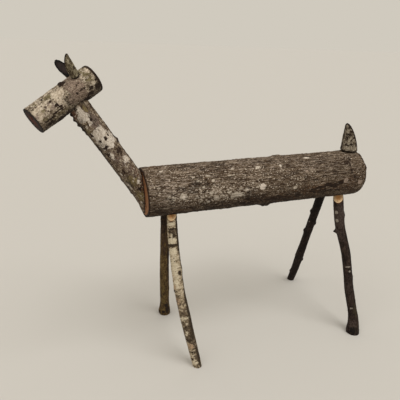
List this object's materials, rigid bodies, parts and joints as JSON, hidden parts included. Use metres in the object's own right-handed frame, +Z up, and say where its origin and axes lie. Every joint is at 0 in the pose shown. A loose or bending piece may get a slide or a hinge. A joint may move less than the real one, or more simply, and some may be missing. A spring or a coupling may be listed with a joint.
{
  "type": "log reindeer",
  "caption": "Standing reindeer ornament made of birch logs and sticks with the bark on: log body, slanting neck, short log head with cut-branch ears, stub tail and splayed stick legs",
  "frame": {"origin": "middle of the rectangle that the deer covers on the floor, at floor level", "axes": "+X runs from the head end to the tail end, the deer looks towards -X; +Y points to the deer's right; +Z is up"},
  "size_m": [0.8468, 0.3342, 0.7516],
  "materials": {
    "body_bark": "rough grey-brown bark with fine lengthwise fissures and pale lichen flecks, sawn ends",
    "neck_bark": "dark bark with large whitish lichen patches and olive moss",
    "head_bark": "mottled cream and grey-green lichen on smooth bark, dark sawn ends",
    "ear_bark": "grey-brown bark with a dark slanting cut face",
    "tail_bark": "mottled grey bark with a slanting cut face",
    "white_birch_bark": "papery white birch bark with dark cross bands, fresh whittled top",
    "olive_bark": "smooth olive-brown bark",
    "dark_bark": "near-black bark with a few pale marks, fresh whittled top"
  },
  "bodies": {
    "root": {"body_log": "body_bark", "neck_log": "neck_bark", "head_log": "head_bark", "ear_left": "ear_bark", "ear_right": "ear_bark", "tail": "tail_bark", "leg_front_left": "white_birch_bark", "leg_front_right": "olive_bark", "leg_rear_left": "dark_bark", "leg_rear_right": "dark_bark"}
  },
  "joints": []
}
